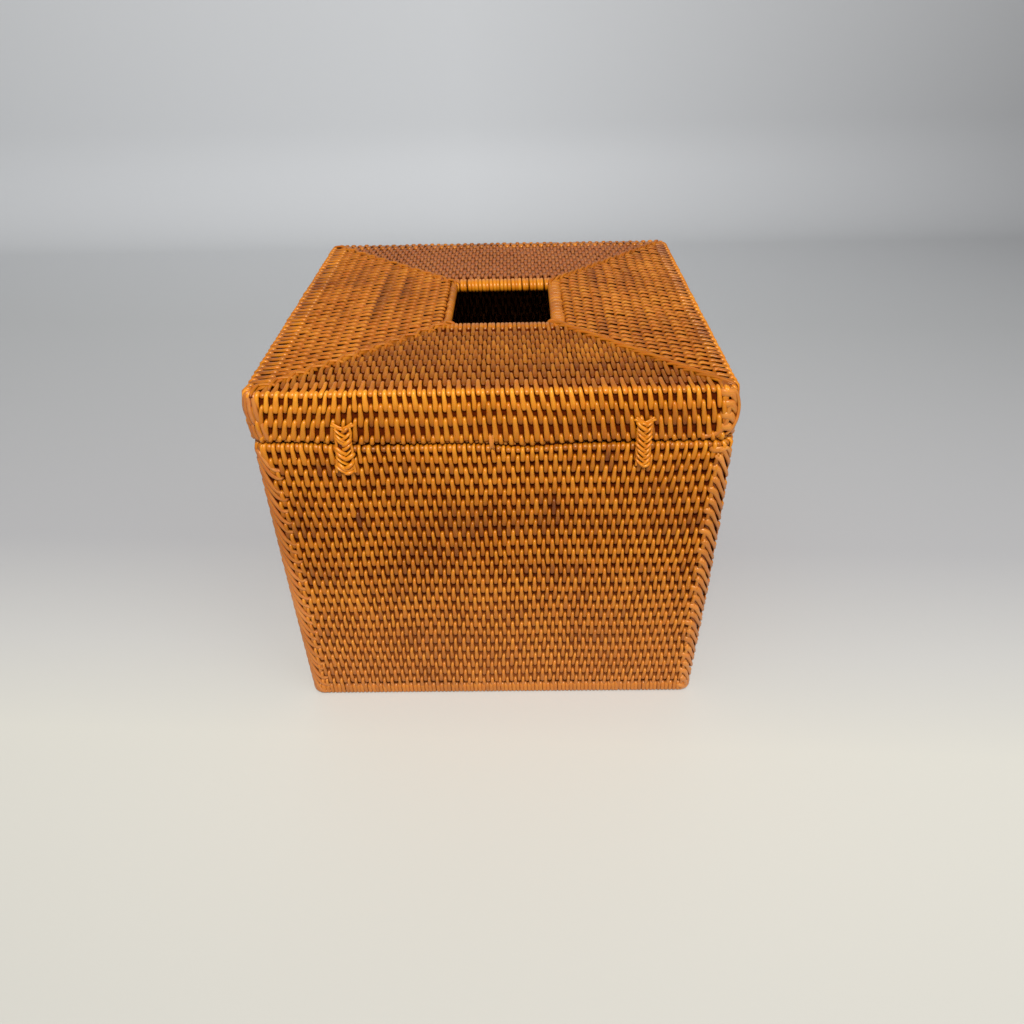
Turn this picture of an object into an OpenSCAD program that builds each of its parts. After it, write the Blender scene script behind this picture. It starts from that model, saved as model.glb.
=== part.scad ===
// Square lidded tissue box cover of coiled rattan, in millimetres.
// The body is a stack of wrapped courses on a flat base, and slanting strands lash them round the
// corners. The lid is four mitred panels round a tissue slot, with a short skirt, and hangs on two
// plaited straps at the hinge side (-Y).
// The origin is at the middle of the foot, +Z up.

/* [Body] */
// Width of the lid outside, along X, which the body follows
lid_w = 154; // [110:1:220]
// Depth of the lid outside, along Y
lid_d = 151.6; // [110:1:220]
// Height of the body from the foot to the seam
body_h = 119.2; // [70:0.2:220]
// How far the lid stands proud of the body on each side
overhang = 0.2; // [0:0.1:1]

/* [Courses] */
// Thickness of a wrapped course, which is the thickness of every wall
wall = 4; // [3.4:0.1:5]
// Thickness left where two courses meet
web = 3.2; // [2.4:0.1:3.2]
// Height of a body course, before it is fitted to the wall
body_course = 4.2; // [3.6:0.1:6]
// Height of a skirt course, before it is fitted to the skirt
skirt_course = 4.8; // [3.8:0.1:6]
// Width of a course in the lid's top, before it is fitted
panel_course = 3.7; // [3.4:0.1:6]
// Width of a course in the base, before it is fitted
base_course = 4.4; // [3.6:0.1:8]
// Inside radius where a course turns a corner
corner_in = 0.6; // [0.6:0.1:4]
// Depth of the notches between the strands that lash a corner
lash_notch = 0.8; // [0.3:0.1:1.2]
// Courses that a strand falls by as it turns a corner of the body
body_lash_fall = 2; // [1:1:3]
// Courses that a strand falls by as it turns a corner of the lid
lid_lash_fall = 1; // [0:1:1]

/* [Foot and rim] */
// Height of the foot course
foot_h = 4.2; // [3.4:0.1:6]
// Height of the rim course under the seam
rim_h = 5; // [4:0.1:8]
// Rounding of the foot and rim courses
edge_round = 1.2; // [0.6:0.1:1.6]
// How high the base is held off the table
base_lift = 0.6; // [0.4:0.1:2]

/* [Lid] */
// Height of the lid from the seam to its top
lid_h = 17.8; // [12:0.1:40]
// Width of the tissue slot, along X
slot_w = 36.6; // [20:0.2:70]
// Depth of the tissue slot, along Y
slot_d = 41.4; // [20:0.2:70]
// How far the slot sits to the right of the middle
slot_shift_x = 2.8; // [-6:0.1:6]
// How far the slot sits towards the far side
slot_shift_y = 0.5; // [-6:0.1:6]

/* [Hinge straps] */
// Distance from each side of the lid to the middle of the strap next to it
strap_inset = 28.4; // [14:0.2:50]
// Width of a strap
strap_w = 6.8; // [4:0.1:12]
// Thickness of a strap
strap_t = 1.8; // [1.2:0.1:3]
// Length of a strap above the seam
strap_up = 6.4; // [4:0.1:10]
// Length of a strap below the seam
strap_down = 11; // [6:0.1:30]
// Bare length of a strap on each side of the seam, where it bends
strap_bend = 1.7; // [1.4:0.1:2.4]
// Width of one plaited strand
plait_strand = 1.6; // [1:0.1:2.4]
// Thickness of a strap under its strands
strap_core = 1; // [0.6:0.1:1.4]
// Angle of the plaited strands from the strap's length
plait_angle = 52; // [35:1:65]

/* [Hidden] */
$fn = 48;

// Sides, each by the angle that turns it from -Y, anticlockwise from above
HINGE_ANGLE = 0;
RIGHT_ANGLE = 90;
FAR_ANGLE = 180;
LEFT_ANGLE = 270;
SIDE_ANGLES = [HINGE_ANGLE, RIGHT_ANGLE, FAR_ANGLE, LEFT_ANGLE];

body_w = lid_w - 2 * overhang;
body_d = lid_d - 2 * overhang;
corner_out = corner_in + wall;

wall_h = body_h - foot_h - rim_h;
wall_count = round(wall_h / body_course);
skirt_h = lid_h - wall;
skirt_count = round(skirt_h / skirt_course);

// Courses between the lid's edge and the slot's rim. Each goes all the way round, so the four
// sides have one count, from their mean depth.
slot_mean = (slot_w + slot_d) / 2;
panel_depth = ((lid_w + lid_d) / 2 - slot_mean) / 2 - 2 * wall;
panel_count = round(panel_depth / panel_course);

// Courses of the base. They go round a straight start, as long as the box is wider than it is
// deep, so that they are equally wide on all four sides.
base_start = [max(0, body_w - body_d), max(0, body_d - body_w)];
base_count = round((min(body_w, body_d) / 2 - wall) / base_course);

// Lashings are drawn with this many facets round a corner and up each course. They slant less and
// less near their top and bottom, over so many courses for each course that they fall by.
LASH_TURNS = 6;
LASH_STEPS = 4;
lash_ease_share = 1.5;

// Strands of a plait overlap by this share of their width
plait_overlap_share = 0.12;
plait_pitch = plait_strand * (1 - plait_overlap_share);

// A point of the box seen with the given side turned to -Y
function turned(p, side) =
    side == HINGE_ANGLE ? p
    : side == RIGHT_ANGLE ? [p.y, -p.x]
    : side == FAR_ANGLE ? [-p.x, -p.y]
    : [-p.y, p.x];

// Two sizes of the box, along the given side and across it
function along(size, side) = side % 180 == 0 ? size : [size.y, size.x];

// Outline across a wall: courses stacked along Y, with their middle on X = 0. Each bulges from the
// web to the full wall, and runs on into its neighbours.
module course_stack(count, height) {
    pitch = height / count;
    rise = (wall - web) / 2;
    bulge = (pitch * pitch / 4 + rise * rise) / (2 * rise);
    intersection() {
        translate([-wall, 0])
            square([2 * wall, height]);
        for (i = [0 : count - 1])
            translate([0, (i + 0.5) * pitch])
                intersection_for(s = [-1, 1])
                    translate([s * (bulge - wall / 2), 0])
                        circle(r = bulge);
    }
}

// Outline of an edge course that is flat inside and rounded on its two outer corners, at Y = height
module edge_outline(height) {
    translate([-wall / 2, 0])
        square([wall, height - edge_round]);
    translate([-wall / 2 + edge_round, 0])
        square([wall - 2 * edge_round, height]);
    for (s = [-1, 1])
        translate([s * (wall / 2 - edge_round), height - edge_round])
            circle(r = edge_round);
}

// Outline of the course where the lid's top turns down: flat below, round above
module lid_edge_outline() {
    translate([-wall / 2, 0])
        square([wall, wall / 2]);
    translate([0, wall / 2])
        circle(d = wall);
}

// Outline across the lid's skirt: courses with a rounded lower edge
module skirt_outline() {
    intersection() {
        course_stack(skirt_count, skirt_h);
        translate([0, skirt_h])
            mirror([0, 1])
                edge_outline(skirt_h);
    }
}

// A straight run of an outline along X, its height along Z
module run(length) {
    rotate([90, 0, 90])
        linear_extrude(height = length, center = true)
            children();
}

// An outline turned round one corner of the box, from the side that faces -Y to the one that faces +X
module turn() {
    rotate([0, 0, -90])
        rotate_extrude(angle = 90)
            translate([corner_in + wall / 2, 0])
                children();
}

// An outline taken all the way round a box of the given outside size
module ring(size) {
    for (side = SIDE_ANGLES) {
        half = along(size, side) / 2;
        rotate([0, 0, side]) {
            translate([0, -half.y + wall / 2, 0])
                run(2 * (half.x - corner_out))
                    children();
            translate([half.x - corner_out, -half.y + corner_out, 0])
                turn()
                    children();
        }
    }
}

// An outline taken along one side of a box, between its corners
module side_run(size, side) {
    half = along(size, side) / 2;
    rotate([0, 0, side])
        translate([0, -half.y + wall / 2, 0])
            run(2 * (half.x - corner_out))
                children();
}

// How much of its fall a lashing strand has at a height, both in courses: none at the ends
function lash_slant(at, count, fall) =
    fall == 0 ? 0 : min(1, at / (lash_ease_share * fall), (count - at) / (lash_ease_share * fall));

// How far a notch or the rounded lower edge lies under the corner's outside, at a facet or a height
function notch_depth(step) =
    let (from_crest = abs(2 * (step % LASH_STEPS) / LASH_STEPS - 1))
        lash_notch * from_crest * from_crest;
function lower_edge_depth(z, radius) =
    z >= radius ? 0 : radius - sqrt(radius * radius - (radius - z) * (radius - z));

// Strands that carry the courses round the corner at the right end of one side, falling as they
// turn. Its outside is a grid of facets that follow the strands, and its inside one of the courses.
module lashed_corner(size, side, count, height, fall, lower_round) {
    half = along(size, side) / 2;
    pitch = height / count;
    rows = count * LASH_STEPS;
    crest = LASH_STEPS / 2;
    function level(at, turn) = pitch * (at - fall * turn / LASH_TURNS * lash_slant(at, count, fall));
    function point(radius, turn, z) =
        let (angle = 90 * turn / LASH_TURNS)
            [radius * sin(angle), -radius * cos(angle), z];
    outside = [
        for (turn = [0 : LASH_TURNS], row = [0 : rows])
            let (
                z = level(row / LASH_STEPS, turn),
                radius = corner_out - notch_depth(row) - lower_edge_depth(z, lower_round)
            )
                point(radius, turn, z)
    ];
    inside = [
        for (turn = [0 : LASH_TURNS], course = [0 : count])
            point(corner_in, turn, level(course, turn))
    ];
    function out(turn, row) = turn * (rows + 1) + row;
    function in(turn, course) = len(outside) + turn * (count + 1) + course;
    strands = [
        for (turn = [0 : LASH_TURNS - 1], row = [0 : rows - 1])
            each [
                [out(turn, row), out(turn, row + 1), out(turn + 1, row + 1)],
                [out(turn, row), out(turn + 1, row + 1), out(turn + 1, row)]
            ]
    ];
    back = [
        for (turn = [0 : LASH_TURNS - 1], course = [0 : count - 1])
            each [
                [in(turn, course), in(turn + 1, course), in(turn + 1, course + 1)],
                [in(turn, course), in(turn + 1, course + 1), in(turn, course + 1)]
            ]
    ];
    top_and_bottom = [
        for (turn = [0 : LASH_TURNS - 1])
            each [
                [in(turn, count), in(turn + 1, count), out(turn + 1, rows), out(turn, rows)],
                [in(turn, 0), out(turn, 0), out(turn + 1, 0), in(turn + 1, 0)]
            ]
    ];
    function end_middles(turn) = [
        for (course = [0 : count - 1])
            [in(turn, course), in(turn, course + 1), out(turn, course * LASH_STEPS + crest)]
    ];
    function end_edges(turn) = [
        for (row = [0 : rows - 1])
            let (nearest = floor(row / LASH_STEPS) + (row % LASH_STEPS < crest ? 0 : 1))
                [in(turn, nearest), out(turn, row + 1), out(turn, row)]
    ];
    first_end = concat(end_middles(0), end_edges(0));
    last_end = [
        for (face = concat(end_middles(LASH_TURNS), end_edges(LASH_TURNS)))
            [face.z, face.y, face.x]
    ];
    rotate([0, 0, side])
        translate([half.x - corner_out, -half.y + corner_out, 0])
            polyhedron(
                points = concat(outside, inside),
                faces = concat(strands, back, top_and_bottom, first_end, last_end)
            );
}

// Flat area inside the edge courses of a box, with its corners rounded as they are
module inside_area(size) {
    inner = size - 2 * [wall, wall];
    translate([-inner.x / 2, -inner.y / 2 + corner_in])
        square([inner.x, inner.y - 2 * corner_in]);
    translate([-inner.x / 2 + corner_in, -inner.y / 2])
        square([inner.x - 2 * corner_in, inner.y]);
    for (sx = [-1, 1], sy = [-1, 1])
        translate([sx * (inner.x / 2 - corner_in), sy * (inner.y / 2 - corner_in)])
            circle(r = corner_in);
}

// One mitred quarter of a flat square panel, whose courses run along its side.
// It reaches from the edge course to a middle rectangle of the given size and place.
module mitred_quarter(size, side, count, middle, place) {
    outer = along(size, side) / 2 - [wall, wall];
    inner = along(middle, side) / 2;
    at = turned(place, side);
    depth = outer.y - inner.y + at.y;
    rotate([0, 0, side])
        intersection() {
            translate([0, -outer.y, wall / 2])
                rotate([0, -90, 0])
                    linear_extrude(height = 2 * outer.x, center = true)
                        course_stack(count, depth);
            linear_extrude(height = wall)
                polygon([
                    [-outer.x, -outer.y],
                    [outer.x, -outer.y],
                    [at.x + inner.x, at.y - inner.y],
                    [at.x - inner.x, at.y - inner.y]
                ]);
            rotate([0, 0, -side])
                linear_extrude(height = wall)
                    inside_area(size);
        }
}

// Body

// Floor of the box: courses laid flat, one round another
module base_panel() {
    color("#8a4a1c")
        translate([0, 0, base_lift])
            for (side = SIDE_ANGLES)
                mitred_quarter([body_w, body_d], side, base_count, base_start, [0, 0]);
}

// Lowest course, which stands on the table and holds the base
module foot_course() {
    color("#b8693a")
        translate([0, 0, foot_h])
            mirror([0, 0, 1])
                ring([body_w, body_d])
                    edge_outline(foot_h);
}

module body_wall(side) {
    color("#c87820")
        translate([0, 0, foot_h])
            side_run([body_w, body_d], side)
                course_stack(wall_count, wall_h);
}

module body_corner(side) {
    color("#a85c18")
        translate([0, 0, foot_h])
            lashed_corner([body_w, body_d], side, wall_count, wall_h, body_lash_fall, 0);
}

// Top course of the body, on which the lid rests
module body_rim() {
    color("#e09a3c")
        translate([0, 0, body_h - rim_h])
            ring([body_w, body_d])
                edge_outline(rim_h);
}

// Lid

module lid_panel(side) {
    color(side % 180 == 0 ? "#a86a24" : "#c87830")
        translate([0, 0, body_h + lid_h - wall])
            mitred_quarter(
                [lid_w, lid_d], side, panel_count,
                [slot_w, slot_d] + 2 * [wall, wall], [slot_shift_x, slot_shift_y]
            );
}

// Course round the tissue slot, mitred at its corners
module slot_rim() {
    color("#e09a3c")
        translate([slot_shift_x, slot_shift_y, body_h + lid_h - wall / 2])
            for (side = SIDE_ANGLES) {
                inner = along([slot_w, slot_d], side) / 2;
                outer = inner + [wall, wall];
                rotate([0, 0, side])
                    intersection() {
                        translate([0, -inner.y - wall / 2, 0])
                            run(2 * outer.x)
                                circle(d = wall);
                        translate([0, 0, -wall / 2])
                            linear_extrude(height = wall)
                                polygon([
                                    [-outer.x, -outer.y],
                                    [outer.x, -outer.y],
                                    [inner.x, -inner.y],
                                    [-inner.x, -inner.y]
                                ]);
                    }
            }
}

// Course where the lid's top turns down into its skirt
module lid_edge() {
    color("#d88a30")
        translate([0, 0, body_h + skirt_h])
            ring([lid_w, lid_d])
                lid_edge_outline();
}

module lid_skirt(side) {
    color("#d08428")
        translate([0, 0, body_h])
            side_run([lid_w, lid_d], side)
                skirt_outline();
}

module lid_corner(side) {
    color("#b06820")
        translate([0, 0, body_h])
            lashed_corner([lid_w, lid_d], side, skirt_count, skirt_h, lid_lash_fall, edge_round);
}

// Hinge straps

// Strands laid side by side at the plait's angle, in the strap's right half
module plait_side(length) {
    rise = strap_w / 2 / tan(plait_angle);
    step = plait_pitch / sin(plait_angle);
    count = ceil((length + rise) / step);
    middle_y = strap_t - plait_strand / 2;
    intersection() {
        cube([strap_w / 2, strap_t, length]);
        for (i = [0 : count])
            translate([0, middle_y, i * step - rise])
                rotate([0, plait_angle, 0])
                    cylinder(d = plait_strand, h = 2 * strap_w, center = true);
    }
}

// A length of plait that stands on Z = 0, with its back on Y = 0 and its strands towards +Y
module plait(length) {
    translate([-strap_w / 2, 0, 0])
        cube([strap_w, strap_core, length]);
    plait_side(length);
    mirror([1, 0, 0])
        plait_side(length);
}

// Half of a strap that lies on the body, under the seam
module strap_body_half(s) {
    color("#e0a040")
        translate([s * (lid_w / 2 - strap_inset), -body_d / 2, body_h - strap_down])
            mirror([0, 1, 0])
                plait(strap_down - strap_bend);
}

// Half of a strap that lies on the lid's skirt, over the seam
module strap_lid_half(s) {
    color("#e0a040")
        translate([s * (lid_w / 2 - strap_inset), -lid_d / 2, body_h + strap_bend])
            mirror([0, 1, 0])
                plait(strap_up - strap_bend);
}

base_panel();
foot_course();
body_wall(HINGE_ANGLE);  // hinge_wall
body_wall(FAR_ANGLE);  // far_wall
body_wall(LEFT_ANGLE);  // left_wall
body_wall(RIGHT_ANGLE);  // right_wall
body_corner(LEFT_ANGLE);  // hinge_left_corner
body_corner(HINGE_ANGLE);  // hinge_right_corner
body_corner(FAR_ANGLE);  // far_left_corner
body_corner(RIGHT_ANGLE);  // far_right_corner
body_rim();
lid_panel(HINGE_ANGLE);  // lid_hinge_panel
lid_panel(FAR_ANGLE);  // lid_far_panel
lid_panel(LEFT_ANGLE);  // lid_left_panel
lid_panel(RIGHT_ANGLE);  // lid_right_panel
slot_rim();
lid_edge();
lid_skirt(HINGE_ANGLE);  // lid_hinge_skirt
lid_skirt(FAR_ANGLE);  // lid_far_skirt
lid_skirt(LEFT_ANGLE);  // lid_left_skirt
lid_skirt(RIGHT_ANGLE);  // lid_right_skirt
lid_corner(LEFT_ANGLE);  // lid_hinge_left_corner
lid_corner(HINGE_ANGLE);  // lid_hinge_right_corner
lid_corner(FAR_ANGLE);  // lid_far_left_corner
lid_corner(RIGHT_ANGLE);  // lid_far_right_corner
strap_body_half(-1);  // left_strap_body_half
strap_lid_half(-1);  // left_strap_lid_half
strap_body_half(1);  // right_strap_body_half
strap_lid_half(1);  // right_strap_lid_half
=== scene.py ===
# Tissue box cover of coiled rattan: an open-topped box with a shallow lid on two plaited straps.
# Rods run round the box in courses. Split strands bind each course to the two below it, and each
# strand is modelled. Sizes here are in millimetres, and are turned into metres as meshes are made.
# Depths go into the wall, so a strand with a depth below zero stands proud of it.
import math

import bpy
import numpy as np
from mathutils import Matrix, Vector


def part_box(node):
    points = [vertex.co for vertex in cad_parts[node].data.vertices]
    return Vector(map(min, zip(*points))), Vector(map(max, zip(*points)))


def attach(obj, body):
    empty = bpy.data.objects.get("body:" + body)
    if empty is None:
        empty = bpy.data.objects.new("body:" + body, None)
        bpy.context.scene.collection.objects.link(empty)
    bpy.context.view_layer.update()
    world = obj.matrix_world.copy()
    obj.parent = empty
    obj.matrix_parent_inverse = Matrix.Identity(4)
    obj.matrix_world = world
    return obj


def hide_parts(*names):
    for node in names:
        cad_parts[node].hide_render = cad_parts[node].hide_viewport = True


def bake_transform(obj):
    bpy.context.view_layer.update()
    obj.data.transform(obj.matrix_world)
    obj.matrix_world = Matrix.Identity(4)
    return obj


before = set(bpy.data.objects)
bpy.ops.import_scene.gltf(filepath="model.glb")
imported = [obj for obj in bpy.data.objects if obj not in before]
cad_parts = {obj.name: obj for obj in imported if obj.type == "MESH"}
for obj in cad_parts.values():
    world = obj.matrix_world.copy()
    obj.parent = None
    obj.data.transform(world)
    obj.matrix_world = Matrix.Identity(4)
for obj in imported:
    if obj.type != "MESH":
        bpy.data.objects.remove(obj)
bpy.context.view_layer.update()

MM = 0.001
QUARTER = math.pi / 2
HINGE, RIGHT, FAR, LEFT = range(4)
SIDE_NAMES = ("hinge", "right", "far", "left")
CORNER_NAMES = ("hinge_right", "far_right", "far_left", "hinge_left")
# The body that a piece rides on, and the name of a material slot, which nothing uses
BOX = ("box", "rattan_body")
LID = ("lid", "rattan_lid")


def node_box(node):
    """Lowest and highest corner of a CAD node, in millimetres."""
    lo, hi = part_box(node)
    return np.array(lo) / MM, np.array(hi) / MM


# Sizes taken from the frame

EDGE_LO, EDGE_HI = node_box("lid_edge")
RIM_LO, RIM_HI = node_box("body_rim")
SLOT_LO, SLOT_HI = node_box("slot_rim")
BASE_LO, BASE_HI = node_box("base_panel")
TURN_LO, TURN_HI = node_box("hinge_right_corner")
WALL = EDGE_HI[2] - EDGE_LO[2]
LID_HALF = (EDGE_HI - EDGE_LO)[:2] / 2
BODY_HALF = (RIM_HI - RIM_LO)[:2] / 2
SEAM = RIM_HI[2]
TOP = EDGE_HI[2]
CORNER = TURN_HI[0] - TURN_LO[0]  # outside radius of every corner, in plan
TURN = CORNER * QUARTER  # length of a corner along the outside
ROUND = 1.3  # rounding of the foot and of the inner corner of the lid
SEAM_ROUND = 1.9  # rounding of the body's rim and of the lid's lower edge
SEAM_GAP = 0.2  # room between the seam and the strands above and under it
SEAM_REACH = 6.5  # how far above and under the seam its wander goes
EDGE_ROUND = 2.2  # rounding where the lid's top turns down


# Surfaces


class Profile:
    """A closed curve across a wall, as points out from the face and up, by length along it."""

    STEP = 0.05

    def __init__(self, start, heading, moves):
        out, up, turn, sizes = [start[0]], [start[1]], [heading], [0.0]
        self.marks = [0.0]
        for distance, angle in moves:
            count = max(2, int(math.ceil(distance / self.STEP)))
            for _ in range(count):
                middle = turn[-1] + angle / count / 2
                out.append(out[-1] + distance / count * math.cos(middle))
                up.append(up[-1] + distance / count * math.sin(middle))
                turn.append(turn[-1] + angle / count)
            sizes += [distance / count] * count
            self.marks.append(self.marks[-1] + distance)
        self.length = self.marks[-1]
        self.at_length = np.cumsum(sizes)
        self.out, self.up, self.turn = np.array(out), np.array(up), np.array(turn)

    def at(self, tau):
        """Point and outward normal, each as (out, up)."""
        tau = np.mod(tau, self.length)
        out = np.interp(tau, self.at_length, self.out)
        up = np.interp(tau, self.at_length, self.up)
        normal = np.interp(tau, self.at_length, self.turn) + QUARTER
        return out, up, np.cos(normal), np.sin(normal)


def arc(radius, angle):
    return (radius * abs(angle), angle)


def line(length):
    return (length, 0.0)


def body_profile():
    """Round the wall from the inner side of the rim: out, down, under the foot and up inside."""
    rise = line(SEAM - SEAM_GAP - SEAM_ROUND - ROUND)
    rim = arc(SEAM_ROUND, -QUARTER)
    foot = arc(ROUND, -QUARTER)
    moves = [line(WALL - 2 * SEAM_ROUND), rim, rise, foot, line(WALL - 2 * ROUND), foot, rise, rim]
    return Profile((SEAM_ROUND - WALL, SEAM - SEAM_GAP), 0.0, moves)


def lid_profile(side):
    """Round the lid from under the slot's rim: over the top, down the skirt, and back inside."""
    inner = slot_distance(side)
    half = WALL / 2
    low = SEAM + SEAM_GAP
    corner = arc(SEAM_ROUND, -QUARTER)
    moves = [
        arc(half, -2 * QUARTER),
        line(inner - half - EDGE_ROUND),
        arc(EDGE_ROUND, -QUARTER),
        line(TOP - low - EDGE_ROUND - SEAM_ROUND),
        corner,
        line(WALL - 2 * SEAM_ROUND),
        corner,
        line(TOP - low - WALL - SEAM_ROUND - ROUND),
        arc(ROUND, QUARTER),
        line(inner - half - WALL - ROUND),
    ]
    return Profile((half - inner, TOP - WALL), math.pi, moves)


def base_profile(side):
    """Round the base: over its top from the middle to the wall, and back under it."""
    reach = across_half(BODY_HALF, side) - WALL
    thick = BASE_HI[2] - BASE_LO[2]
    moves = [line(reach), arc(thick / 2, -2 * QUARTER)] * 2
    return Profile((-WALL - reach, BASE_HI[2]), 0.0, moves)


def along_half(half, side):
    return half[0] if side % 2 == 0 else half[1]


def across_half(half, side):
    return half[1] if side % 2 == 0 else half[0]


def straight(half, side):
    """Half the length of a side between the turns of its corners."""
    return along_half(half, side) - CORNER


def side_turn(side):
    """Cosine and sine of the angle between the hinge side and this one."""
    return math.cos(QUARTER * side), math.sin(QUARTER * side)


def slot_edges(side):
    """The slot's opening seen from a side: its ends along the side, and its near edge."""
    lo, hi = SLOT_LO[:2] + WALL, SLOT_HI[:2] - WALL
    c, d = side_turn(side)
    corners = np.array([[x, y] for x in (lo[0], hi[0]) for y in (lo[1], hi[1])])
    turned = corners @ np.array([[c, -d], [d, c]])
    return turned[:, 0].min(), turned[:, 0].max(), turned[:, 1].min()


def slot_distance(side):
    """From the lid's face on this side to the slot's opening."""
    return across_half(LID_HALF, side) + slot_edges(side)[2]


# How far the hand-made seam lies under its mean height, by the place along the hinge side
SEAM_PLACES = (-76, -60, -52, -38, -5, 8, 16, 28, 76)
SEAM_DROPS = (0.3, 0.5, 1.2, 2.0, 1.8, 3.2, 3.0, 2.1, 1.6)
SIDE_DROP = 0.8  # the same on the other sides, away from the hinge side


def seam_drop(side, s):
    if side == HINGE:
        return np.interp(s, SEAM_PLACES, SEAM_DROPS)
    if side == RIGHT:
        return np.interp(s, (-76, -50), (SEAM_DROPS[-1], SIDE_DROP))
    if side == LEFT:
        return np.interp(s, (50, 76), (SIDE_DROP, SEAM_DROPS[0]))
    return SIDE_DROP + 0 * s


# How far the hand-woven sides bulge, in the middle of the skirt and of the wall
SKIRT_BULGES = np.array([0.2, 1.8, 0.7, 0.9])
WALL_BULGES = np.array([0.2, 2.1, 0.6, 0.7])


def bulge(half, side, s, turn, up):
    """How far a place stands out, which passes into the next side's bulge round the corner."""
    next_side = np.where(s > 0, (side + 1) % 4, (side + 3) % 4)
    share = turn / QUARTER
    if half is LID_HALF:
        sizes = SKIRT_BULGES
        height = np.clip((up - SEAM) / (TOP - SEAM), 0, 1)
        form = np.maximum(np.sin(math.pi * height**0.75), 0.7 * (height < 0.4))
    else:
        sizes = WALL_BULGES
        height = np.clip(up / SEAM, 0, 1)
        form = np.sin(math.pi * (0.08 + 0.62 * height))
    return (sizes[side] * (1 - share) + sizes[next_side] * share) * form


def place(half, side, s, out, up, n_out, n_up):
    """World points and normals of places along a side, with the corners' turns past its ends."""
    reach = straight(half, side)
    face = across_half(half, side)
    past = np.maximum(np.abs(s) - reach, 0)
    turn = np.minimum(past / CORNER, QUARTER)
    out = out + bulge(half, side, s, turn, up) * (out > -1.5 * WALL)
    up = up - seam_drop(side, s) * np.maximum(1 - np.abs(up - SEAM) / SEAM_REACH, 0)
    after = np.maximum(past - TURN, 0)
    radius = CORNER + out
    bent = past > 0
    x = np.where(bent, np.sign(s) * (reach + radius * np.sin(turn)), s)
    y = np.where(bent, face - CORNER + radius * np.cos(turn) - after, face + out)
    nx = np.where(bent, np.sign(s) * np.sin(turn) * n_out, 0.0)
    ny = np.where(bent, np.cos(turn) * n_out, n_out)
    c, d = side_turn(side)
    point = np.stack([c * x + d * y, d * x - c * y, up], -1)
    normal = np.stack([c * nx + d * ny, d * nx - c * ny, n_up], -1)
    return point, normal


def on_wall(profile, half, side, s, tau, depth):
    """World points and normals along a side, at lengths along its profile and depths under it."""
    out, up, n_out, n_up = profile.at(tau)
    return place(half, side, s, out - n_out * depth, up - n_up * depth, n_out, n_up)


# Strands

# Across a strand, point by point: how far to its side, how high, and how much deeper its painted
# shade is, so that its sides and underside are darker
SECTION = np.array([
    (-1, -0.80, -0.34, 0.34, 0.80, 1, 0.5, -0.5),
    (-0.3, 0.45, 0.94, 0.94, 0.45, -0.3, -1, -1),
    (0.26, 0, 0, 0, 0, 0.26, 1.2, 1.2),
])
PLAIN_SECTION = np.array([
    (-1, -0.55, 0.55, 1, 0.55, -0.55),
    (-0.2, 0.85, 0.85, -0.2, -1, -1),
    (0.4, 0, 0, 0.4, 1.0, 1.0),
])
TONE_SCATTER = 0.5
SEEDS = 100  # every strand has a seed up to this, which moves its fibres
DEEPEST = 2  # depth at which the painted shade darkens no more
NARROWEST = 0.2


def unit(v):
    return v / np.maximum(np.linalg.norm(v, axis=-1, keepdims=True), 1e-9)


def dye(rng, count, tone=0.0):
    """Tone and seed of each strand."""
    return rng.normal(tone, TONE_SCATTER, (count, 1)), rng.uniform(0, SEEDS, count)


def sweep(centre, normal, width, thick, roll, tone, seed, depth, section=SECTION):
    """Strands along rows of centres (strand, ring, 3), as the arrays of one group."""
    tangent = np.empty_like(centre)
    tangent[:, 1:-1] = centre[:, 2:] - centre[:, :-2]
    tangent[:, 0] = centre[:, 1] - centre[:, 0]
    tangent[:, -1] = centre[:, -1] - centre[:, -2]
    tangent = unit(tangent)
    up = unit(normal - (normal * tangent).sum(-1, keepdims=True) * tangent)
    across = np.cross(tangent, up)
    width, thick, roll = (np.broadcast_to(v, centre.shape[:2])[..., None] for v in (width, thick, roll))
    c, s = np.cos(roll), np.sin(roll)
    across, up = across * c + up * s, up * c - across * s
    side, rise, painted_shade = section
    points = (
        centre[:, :, None]
        + across[:, :, None] * side[:, None] * (width / 2)[..., None]
        + up[:, :, None] * rise[:, None] * (thick / 2)[..., None]
    )
    steps = np.linalg.norm(np.diff(centre, axis=1), axis=-1)
    run = np.concatenate([np.zeros((len(centre), 1)), np.cumsum(steps, 1)], 1)
    grain = np.empty(points.shape)
    grain[..., 0] = run[..., None]
    grain[..., 1] = side * (width / 2)
    grain[..., 2] = seed[:, None, None]
    tone = np.broadcast_to(tone[..., None], points.shape[:3])
    # The depth, with the section's share, sets the painted shade of the material
    depth = np.clip(depth, 0, DEEPEST)[..., None] + painted_shade
    return {"points": points, "grain": grain, "tone": tone, "depth": depth}


def curve_through(knots, rings):
    """Values along a smooth curve through each strand's knots (strand, knot, value)."""
    last = knots.shape[1] - 1
    at = np.linspace(0, last, rings)
    i = np.minimum(at.astype(int), last - 1)
    f = (at - i)[None, :, None]
    before = 2 * knots[:, :1] - knots[:, 1:2]
    after = 2 * knots[:, -1:] - knots[:, -2:-1]
    p = np.concatenate([before, knots, after], 1)
    a, b, c, d = (p[:, i + j] for j in range(4))
    return b + f * ((c - a) / 2 + f * (a - 2.5 * b + 2 * c - d / 2 + f * (1.5 * (b - c) + (d - a) / 2)))


def laid_strands(profile, half, side, knots, rings, rng, thick=0.8, roll=0.0, tone=0.0):
    """Strands laid on a wall through knots of (along, place on the profile, depth, width)."""
    s, tau, depth, width = np.moveaxis(curve_through(np.asarray(knots, float), rings), -1, 0)
    point, normal = on_wall(profile, half, side, s, tau, depth + thick / 2)
    width = np.maximum(width, NARROWEST)
    return sweep(point, normal, width, thick, roll, *dye(rng, len(s), tone), depth)


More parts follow.
